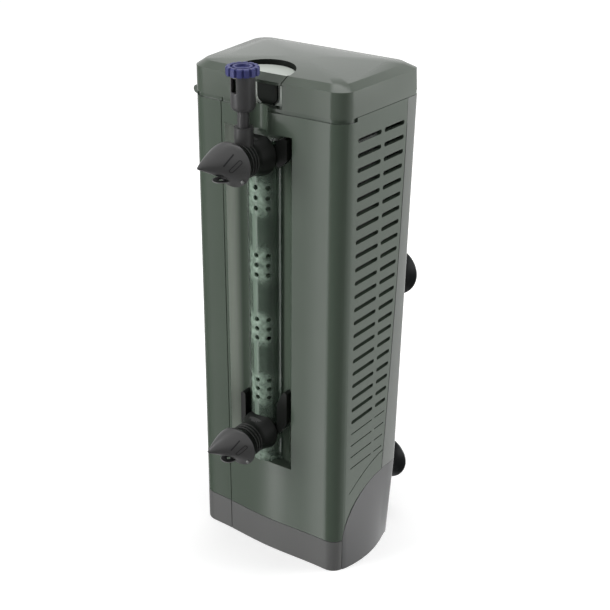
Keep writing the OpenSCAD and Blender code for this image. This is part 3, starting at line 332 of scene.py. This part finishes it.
for level in ("upper", "lower"):
    skin, base = beak(level)
    body = level + "_hood"
    sunk_loop("hood_line_" + level, skin, base + Vector((0.0052, -0.0061, 0.0081)),
              base + Vector((0.0038, -0.0124, 0.0033)), 0.00022, body)
    sunk_loop("hood_loop_" + level, skin, base + Vector((0.0093, -0.0053, 0.0036)),
              base + Vector((0.0068, -0.0098, -0.0012)), 0.0011, body)
    bpy.ops.object.select_all(action="DESELECT")
    bpy.ops.mesh.primitive_uv_sphere_add(segments=20, ring_count=12, radius=0.0011,
                                         location=base + Vector((0.0078, -0.0008, -0.0083)))
    stop = bpy.context.object
    stop.name = "hood_stop_" + level
    bpy.ops.object.transform_apply(location=True)
    bpy.ops.object.shade_smooth()
    stop.data.materials.append(stop_pale)
    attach(stop, body)

    # A thin lip around the mouth, paler than the hood as painted highlight, and a dark flattened ring inside
    # it as painted shade in the open mouth
    rim_place = base + Vector((-0.0050, -0.0038, -0.0088))
    for name, radius, rim, squash, material in (("mouth_rim_highlight_", 0.0049, 0.0003, 1, rim_painted_highlight),
                                                ("mouth_painted_shade_", 0.0031, 0.0018, 0.2, line_dark)):
        bpy.ops.object.select_all(action="DESELECT")
        bpy.ops.mesh.primitive_torus_add(major_segments=56, minor_segments=12, major_radius=radius,
                                         minor_radius=rim, location=rim_place)
        ring = bpy.context.object
        ring.name = name + level
        ring.scale.z = squash
        bpy.ops.object.transform_apply(location=True, scale=True)
        bpy.ops.object.shade_smooth()
        ring.data.materials.append(material)
        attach(ring, body)


# ---- Spray channel ----
# A half-round channel of smoky clear plastic, open at the back against the trough's floor.
# The two outlet tubes pass through it and hold it down; its holes spray in groups of nine.
def smoky(name, colour, roughness, density):
    """Tinted clear plastic with frosty streaks on its inside."""
    m = bpy.data.materials.new(name)
    m.use_nodes = True
    t = m.node_tree
    t.nodes.clear()
    new, link = t.nodes.new, t.links.new
    out = new("ShaderNodeOutputMaterial")
    skin = new("ShaderNodeBsdfPrincipled")
    skin.inputs["Transmission Weight"].default_value = density
    skin.inputs["IOR"].default_value = 1.45
    place = new("ShaderNodeTexCoord")
    cloud = new("ShaderNodeTexNoise")
    cloud.inputs["Scale"].default_value = 160
    cloud.inputs["Detail"].default_value = 5
    tint = new("ShaderNodeMix")
    tint.data_type = "RGBA"
    tint.inputs["A"].default_value = [c * 0.75 for c in colour] + [1]
    tint.inputs["B"].default_value = [min(1, c * 1.3) for c in colour] + [1]
    gloss = new("ShaderNodeMapRange")
    gloss.inputs["To Min"].default_value = max(0.02, roughness - 0.06)
    gloss.inputs["To Max"].default_value = roughness + 0.06
    bump = new("ShaderNodeBump")
    bump.inputs["Strength"].default_value = 0.08
    bump.inputs["Distance"].default_value = 0.0003
    link(place.outputs["Object"], cloud.inputs["Vector"])
    link(cloud.outputs["Fac"], tint.inputs["Factor"])
    link(tint.outputs["Result"], skin.inputs["Base Color"])
    link(cloud.outputs["Fac"], gloss.inputs["Value"])
    link(gloss.outputs["Result"], skin.inputs["Roughness"])
    link(cloud.outputs["Fac"], bump.inputs["Height"])
    link(bump.outputs["Normal"], skin.inputs["Normal"])
    link(skin.outputs["BSDF"], out.inputs["Surface"])
    return m


channel_clear = smoky("channel_clear", (0.19, 0.25, 0.2), 0.1, 0.8)
smoothed("spray_channel", channel_clear)

# Each group of nine spray holes sits in a paler, speckled patch that fades towards the channel's edges. A
# painted highlight runs down the channel as a paler stripe just left of its middle
group_z, group_pitch = 0.2521, 0.0428
highlight_stripe_left = 0.0012
channel_low, channel_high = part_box("spray_channel")
t = channel_clear.node_tree
clear = t.nodes["Principled BSDF"]
where = t.nodes.new("ShaderNodeSeparateXYZ")
step = t.nodes.new("ShaderNodeMath")
step.operation = "MULTIPLY_ADD"
step.inputs[1].default_value = 1 / group_pitch
step.inputs[2].default_value = -group_z / group_pitch + 20
near = t.nodes.new("ShaderNodeMath")
near.operation = "PINGPONG"
near.inputs[1].default_value = 0.5
band = t.nodes.new("ShaderNodeMapRange")
band.interpolation_type = "SMOOTHSTEP"
band.inputs["From Min"].default_value = 0.15
band.inputs["From Max"].default_value = 0.34
band.inputs["To Min"].default_value = 0.75
band.inputs["To Max"].default_value = 0.08
speck = t.nodes.new("ShaderNodeTexNoise")
speck.inputs["Scale"].default_value = 330
speck.inputs["Detail"].default_value = 3
patch = t.nodes.new("ShaderNodeMapRange")
patch.inputs["From Min"].default_value = 0.3
patch.inputs["From Max"].default_value = 0.72
patch.inputs["To Min"].default_value = 0.3
share = t.nodes.new("ShaderNodeMath")
share.operation = "MULTIPLY"
aside = t.nodes.new("ShaderNodeMath")
aside.operation = "ADD"
aside.inputs[1].default_value = -(channel_low.x + channel_high.x) / 2
flank = t.nodes.new("ShaderNodeMath")
flank.operation = "ABSOLUTE"
centre = t.nodes.new("ShaderNodeMapRange")
centre.interpolation_type = "SMOOTHSTEP"
centre.inputs["From Min"].default_value = 0.003
centre.inputs["From Max"].default_value = 0.0095
centre.inputs["To Min"].default_value = 1
centre.inputs["To Max"].default_value = 0.1
spread = t.nodes.new("ShaderNodeMath")
spread.operation = "MULTIPLY"
shift = t.nodes.new("ShaderNodeMath")
shift.operation = "ADD"
shift.inputs[1].default_value = highlight_stripe_left
highlight_distance = t.nodes.new("ShaderNodeMath")
highlight_distance.operation = "ABSOLUTE"
shine = t.nodes.new("ShaderNodeMapRange")
shine.interpolation_type = "SMOOTHSTEP"
shine.inputs["From Min"].default_value = 0.0006
shine.inputs["From Max"].default_value = 0.0034
shine.inputs["To Min"].default_value = 0.34
shine.inputs["To Max"].default_value = 0
either = t.nodes.new("ShaderNodeMath")
either.operation = "MAXIMUM"
patch_and_highlight = t.nodes.new("ShaderNodeBsdfPrincipled")
patch_and_highlight.inputs["Base Color"].default_value = (0.36, 0.47, 0.38, 1)
patch_and_highlight.inputs["Roughness"].default_value = 0.3
blend = t.nodes.new("ShaderNodeMixShader")
t.links.new(t.nodes["Texture Coordinate"].outputs["Object"], where.inputs[0])
t.links.new(t.nodes["Texture Coordinate"].outputs["Object"], speck.inputs["Vector"])
t.links.new(where.outputs["Z"], step.inputs[0])
t.links.new(step.outputs[0], near.inputs[0])
t.links.new(near.outputs[0], band.inputs["Value"])
t.links.new(speck.outputs["Fac"], patch.inputs["Value"])
t.links.new(patch.outputs["Result"], share.inputs[0])
t.links.new(band.outputs["Result"], share.inputs[1])
t.links.new(where.outputs["X"], aside.inputs[0])
t.links.new(aside.outputs[0], flank.inputs[0])
t.links.new(flank.outputs[0], centre.inputs["Value"])
t.links.new(share.outputs[0], spread.inputs[0])
t.links.new(centre.outputs["Result"], spread.inputs[1])
t.links.new(aside.outputs[0], shift.inputs[0])
t.links.new(shift.outputs[0], highlight_distance.inputs[0])
t.links.new(highlight_distance.outputs[0], shine.inputs["Value"])
t.links.new(spread.outputs[0], either.inputs[0])
t.links.new(shine.outputs["Result"], either.inputs[1])
t.links.new(either.outputs[0], blend.inputs[0])
t.links.new(clear.outputs[0], blend.inputs[1])
t.links.new(patch_and_highlight.outputs[0], blend.inputs[2])
t.links.new(blend.outputs[0], t.nodes["Material Output"].inputs["Surface"])
chamber_clear = smoky("chamber_clear", (0.6, 0.66, 0.62), 0.15, 0.8)
paint(chamber_clear, "media_chamber")


# ---- Air valve ----
# A grey valve body on a stem tube that plugs into the upper outlet's socket. A fluted blue knob
# with a ring groove in its top turns the needle; a black plug under it closes the body.
valve_grey = moulded("valve_grey", (0.05, 0.05, 0.051), roughness=0.35, shine=0.4)
knob_blue = moulded("knob_blue", (0.042, 0.047, 0.155), roughness=0.45, shine=0.3)
smoothed("valve_tube", valve_grey)
smoothed("valve_body", valve_grey)
flutes = 14
steps = 10
low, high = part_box("valve_knob")
middle = (low + high) / 2
knob_r = (high.x - low.x) / 2 - 0.00002
knob_h = 0.0046
rim = 0.0006
bpy.ops.object.select_all(action="DESELECT")
bpy.ops.mesh.primitive_cylinder_add(vertices=flutes * steps, radius=knob_r, depth=knob_h - rim,
                                    location=(middle.x, middle.y, high.z - rim - (knob_h - rim) / 2))
knob = bpy.context.object
knob.name = "knob_skin"
bpy.ops.object.mode_set(mode="EDIT")
bpy.ops.mesh.select_mode(type="FACE")
bpy.ops.mesh.select_all(action="DESELECT")
bpy.ops.object.mode_set(mode="OBJECT")
for face in knob.data.polygons:
    face.select = face.normal.z > 0.9
bpy.ops.object.mode_set(mode="EDIT")
bpy.ops.mesh.inset(thickness=rim, depth=rim)
# Flat, down into the ring groove, its floor, up again, flat, down into the middle dish
for ring, step in ((0.0018, 0), (0.0002, -0.0012), (0.0011, 0),
                   (0.0002, 0.0012), (0.0012, 0), (0.0003, -0.0014)):
    bpy.ops.mesh.inset(thickness=ring, depth=step)
bpy.ops.mesh.select_mode(type="VERT")
# The flutes: every tenth line of the rim drawn in, its neighbours a little less
for reach, squeeze in ((0, 0.88), (1, 0.905)):
    bpy.ops.mesh.select_all(action="DESELECT")
    bpy.ops.object.mode_set(mode="OBJECT")
    for v in knob.data.vertices:
        place = round(math.degrees(math.atan2(v.co.y, v.co.x)) / 360 * flutes * steps) % steps
        outer = v.co.xy.length > knob_r - rim * 1.5
        v.select = outer and min(place, steps - place) == reach
    bpy.ops.object.mode_set(mode="EDIT")
    bpy.ops.transform.resize(value=(squeeze, squeeze, 1), center_override=knob.location)
bpy.ops.object.mode_set(mode="OBJECT")
bpy.ops.object.transform_apply(location=True)
bpy.ops.object.shade_smooth_by_angle(angle=math.radians(28))
knob.data.materials.append(knob_blue)
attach(knob, "air_dial")
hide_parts("valve_knob")

bpy.ops.object.select_all(action="DESELECT")
plug_top = high.z - knob_h
plug_r = 0.0048
bpy.ops.mesh.primitive_cylinder_add(vertices=48, radius=plug_r, depth=plug_top - low.z,
                                    location=(middle.x, middle.y, (plug_top + low.z) / 2))
plug = bpy.context.object
plug.name = "knob_plug"
bpy.ops.object.transform_apply(location=True)
bpy.ops.object.shade_smooth_by_angle(angle=math.radians(40))
plug.data.materials.append(grip_black)
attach(plug, "air_dial")


# ---- Pump and media ----
# Rotor, impeller and gate are moulded, the shaft is white ceramic, and screws and pins are steel.
# Foam pads, floss cartridges and sintered rings fill the housing above the pump.
impeller_white = moulded("impeller_white", (0.6, 0.6, 0.56), roughness=0.4)
steel = moulded("steel", (0.55, 0.55, 0.54), roughness=0.3)
steel.node_tree.nodes["Principled BSDF"].inputs["Metallic"].default_value = 1
foam = moulded("foam", (0.03, 0.03, 0.03), roughness=0.9, grain=1)
floss = moulded("floss", (0.7, 0.7, 0.64), roughness=0.95, grain=1)
stone = moulded("stone", (0.66, 0.6, 0.48), roughness=0.85, grain=0.6)
paint(impeller_white, "impeller", "flow_gate", "impeller_shaft")
paint(grip_black, "rotor_magnet")
paint(steel, "base_screws", "bracket_screws", "hinge_pins", "valve_needle")
paint(foam, "foam_pad_right", "foam_pad_left")
paint(floss, "cartridge_right", "cartridge_left")
paint(stone, "media_rings")


# ---- Rear bracket and suction cups ----
# A black bracket slides on two rails of the rear shell and is held by two screws.
# It carries four soft rubber cups, each snapped over a stud.
cup_rubber = moulded("cup_rubber", (0.016, 0.018, 0.019), roughness=0.33)
paint(grip_black, "rear_bracket", "cup_studs")
smoothed("suction_cups", cup_rubber)


# ---- Floor, light and camera ----
# A white floor, three soft lights and a camera above the front right.
# The floor shows white to the camera, and a little less near the object, which keeps its shadow.
bpy.ops.object.select_all(action="DESELECT")
bpy.ops.mesh.primitive_plane_add(size=6, location=(0, 0, -0.0002))
floor = bpy.context.object
floor.name = "floor"
white = bpy.data.materials.new("floor_white")
white.use_nodes = True
t = white.node_tree
t.nodes.clear()
out = t.nodes.new("ShaderNodeOutputMaterial")
path = t.nodes.new("ShaderNodeLightPath")
plain = t.nodes.new("ShaderNodeBsdfDiffuse")
plain.inputs["Color"].default_value = (0.8, 0.8, 0.8, 1)
bright = t.nodes.new("ShaderNodeEmission")
spot = t.nodes.new("ShaderNodeTexCoord")
away = t.nodes.new("ShaderNodeVectorMath")
away.operation = "LENGTH"
rise = t.nodes.new("ShaderNodeMapRange")
rise.interpolation_type = "SMOOTHSTEP"
rise.inputs["From Min"].default_value = 0.05
rise.inputs["From Max"].default_value = 0.4
rise.inputs["To Min"].default_value = 0.44
rise.inputs["To Max"].default_value = 0.76
shaded = t.nodes.new("ShaderNodeBsdfDiffuse")
shaded.inputs["Color"].default_value = (0.75, 0.75, 0.75, 1)
shown = t.nodes.new("ShaderNodeAddShader")
through = t.nodes.new("ShaderNodeBsdfTransparent")
glossy = t.nodes.new("ShaderNodeMixShader")
mix = t.nodes.new("ShaderNodeMixShader")
t.links.new(spot.outputs["Object"], away.inputs[0])
t.links.new(away.outputs["Value"], rise.inputs["Value"])
t.links.new(rise.outputs["Result"], bright.inputs["Strength"])
t.links.new(bright.outputs[0], shown.inputs[0])
t.links.new(shaded.outputs[0], shown.inputs[1])
t.links.new(path.outputs["Is Glossy Ray"], glossy.inputs[0])
t.links.new(plain.outputs[0], glossy.inputs[1])
t.links.new(through.outputs[0], glossy.inputs[2])
t.links.new(path.outputs["Is Camera Ray"], mix.inputs[0])
t.links.new(glossy.outputs[0], mix.inputs[1])
t.links.new(shown.outputs[0], mix.inputs[2])
t.links.new(mix.outputs[0], out.inputs["Surface"])
floor.data.materials.append(white)

# The studio around: plain soft light, shown white. Below the horizon gloss meets soft white cards,
# given as turns around the object and levels, with dark gaps between them
card_power = 4
soft_cards = ((0.0, 0.0), (0.148, 0.0), (0.155, 0.8), (0.162, 1.0), (0.168, 0.7), (0.174, 0.0), (0.25, 0.0),
              (0.46, 0.0), (0.52, 0.18), (0.6, 0.22), (0.7, 0.3), (0.8, 0.46), (0.9, 0.24), (1.0, 0.0))
world = bpy.data.worlds.new("studio")
bpy.context.scene.world = world
world.use_nodes = True
t = world.node_tree
t.nodes.clear()
out = t.nodes.new("ShaderNodeOutputWorld")
path = t.nodes.new("ShaderNodeLightPath")
soft = t.nodes.new("ShaderNodeBackground")
soft.inputs["Color"].default_value = (1, 1, 1, 1)
soft.inputs["Strength"].default_value = 0.3
seen = t.nodes.new("ShaderNodeBackground")
seen.inputs["Color"].default_value = (1, 1, 1, 1)
seen.inputs["Strength"].default_value = 1
cards = t.nodes.new("ShaderNodeBackground")
cards.inputs["Strength"].default_value = card_power
where = t.nodes.new("ShaderNodeTexCoord")
around = t.nodes.new("ShaderNodeTexGradient")
around.gradient_type = "RADIAL"
ramp = t.nodes.new("ShaderNodeValToRGB")
ramp.color_ramp.interpolation = "B_SPLINE"
while len(ramp.color_ramp.elements) > 1:
    ramp.color_ramp.elements.remove(ramp.color_ramp.elements[0])
for i, (turn, level) in enumerate(soft_cards):
    stop = ramp.color_ramp.elements[0] if i == 0 else ramp.color_ramp.elements.new(turn)
    stop.position = turn
    stop.color = (level, level, level, 1)
split = t.nodes.new("ShaderNodeSeparateXYZ")
rise = t.nodes.new("ShaderNodeMapRange")
rise.inputs["From Min"].default_value = -0.25
rise.inputs["From Max"].default_value = 0
in_gloss = t.nodes.new("ShaderNodeMixShader")
shown = t.nodes.new("ShaderNodeMath")
shown.operation = "MAXIMUM"
first = t.nodes.new("ShaderNodeMixShader")
last = t.nodes.new("ShaderNodeMixShader")
t.links.new(where.outputs["Generated"], around.inputs["Vector"])
t.links.new(where.outputs["Generated"], split.inputs[0])
t.links.new(around.outputs["Fac"], ramp.inputs["Fac"])
t.links.new(ramp.outputs["Color"], cards.inputs["Color"])
t.links.new(split.outputs["Z"], rise.inputs["Value"])
t.links.new(rise.outputs["Result"], in_gloss.inputs[0])
t.links.new(cards.outputs[0], in_gloss.inputs[1])
t.links.new(seen.outputs[0], in_gloss.inputs[2])
t.links.new(path.outputs["Is Camera Ray"], shown.inputs[0])
t.links.new(path.outputs["Is Transmission Ray"], shown.inputs[1])
t.links.new(shown.outputs[0], first.inputs[0])
t.links.new(soft.outputs[0], first.inputs[1])
t.links.new(seen.outputs[0], first.inputs[2])
t.links.new(path.outputs["Is Glossy Ray"], last.inputs[0])
t.links.new(first.outputs[0], last.inputs[1])
t.links.new(in_gloss.outputs[0], last.inputs[2])
t.links.new(last.outputs[0], out.inputs["Surface"])


def softbox(name, place, aim, size, power):
    """A rectangular lamp aimed at a point."""
    lamp = bpy.data.lights.new(name, "AREA")
    lamp.shape = "RECTANGLE"
    lamp.size, lamp.size_y = size
    lamp.energy = power
    box = bpy.data.objects.new(name, lamp)
    bpy.context.scene.collection.objects.link(box)
    box.location = place
    box.rotation_euler = (Vector(aim) - Vector(place)).to_track_quat("-Z", "Y").to_euler()


softbox("front_light", (-0.7, -0.9, 0.5), (0, 0, 0.16), (0.5, 0.9), 11)
softbox("side_light", (0.95, 0.75, 0.45), (0, 0, 0.16), (0.6, 0.9), 11)
softbox("top_light", (0, 0.1, 1.3), (0, 0, 0.3), (0.9, 0.9), 6.5)

# The camera's place, where it looks, and a slight roll
eye = Vector((0.35702, -0.52434, 0.48746))
forward = Vector((-0.50162, 0.73624, -0.45423)).normalized()
right = forward.cross(Vector((0, 0, 1))).normalized()
up = right.cross(forward)
roll = math.radians(0.44)
right, up = right * math.cos(roll) + up * math.sin(roll), up * math.cos(roll) - right * math.sin(roll)
lens = bpy.data.cameras.new("view")
lens.sensor_width = 36
lens.lens = 65.6
lens.shift_x = 0.0066
lens.shift_y = 0.0062
lens.clip_start = 0.01
camera = bpy.data.objects.new("view", lens)
bpy.context.scene.collection.objects.link(camera)
camera.matrix_world = Matrix((
    (right.x, up.x, -forward.x, eye.x),
    (right.y, up.y, -forward.y, eye.y),
    (right.z, up.z, -forward.z, eye.z),
    (0, 0, 0, 1)))
bpy.context.scene.camera = camera
bpy.context.scene.view_settings.view_transform = "Standard"
